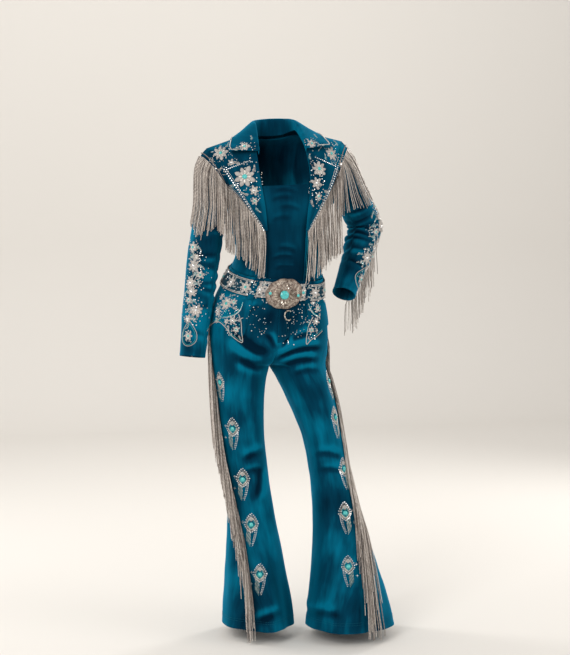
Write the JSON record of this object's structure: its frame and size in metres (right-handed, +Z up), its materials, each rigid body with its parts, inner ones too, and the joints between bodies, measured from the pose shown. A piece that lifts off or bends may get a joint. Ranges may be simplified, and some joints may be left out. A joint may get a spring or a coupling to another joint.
{
  "type": "western pantsuit",
  "caption": "Worn western pantsuit: cropped open jacket with notched collar, yokes and fringe, tube top, flared trousers with fringed side seams, and belt with oval buckle.",
  "frame": {"origin": "between the shoulder seams, where the wearer's shoulders hold the jacket up, 1500 mm above the floor", "axes": "+Z up, the wearer faces -Y and the wearer's left is +X"},
  "size_m": [0.6639, 0.4123, 1.5704],
  "materials": {
    "velvet": "teal cotton velvet",
    "fringe": "taupe and silver beaded fringe",
    "strap": "embroidered teal strap",
    "silver": "antique silver",
    "stone": "polished turquoise"
  },
  "bodies": {
    "root": {"belt": "strap", "belt_loop_back": "velvet", "belt_loop_front_left": "velvet", "belt_loop_front_right": "velvet", "belt_loop_side_left": "velvet", "belt_loop_side_right": "velvet", "buckle": "silver", "buckle_stone_centre": "stone", "buckle_stone_left": "stone", "buckle_stone_right": "stone", "collar": "velvet", "fly": "velvet", "fringe_armhole_left": "fringe", "fringe_armhole_right": "fringe", "fringe_back": "fringe", "fringe_chest_left": "fringe", "fringe_chest_right": "fringe", "fringe_leg_left": "fringe", "fringe_leg_right": "fringe", "fringe_sleeve_left": "fringe", "fringe_sleeve_right": "fringe", "jacket_back": "velvet", "jacket_front_left": "velvet", "jacket_front_right": "velvet", "lapel_left": "velvet", "lapel_right": "velvet", "pocket_left": "velvet", "pocket_right": "velvet", "sleeve_top_left": "velvet", "sleeve_top_right": "velvet", "sleeve_under_left": "velvet", "sleeve_under_right": "velvet", "top_back": "velvet", "top_front": "velvet", "trouser_back_left": "velvet", "trouser_back_right": "velvet", "trouser_front_left": "velvet", "trouser_front_right": "velvet", "waistband": "velvet", "yoke_back": "velvet", "yoke_front_left": "velvet", "yoke_front_right": "velvet"}
  },
  "joints": []
}
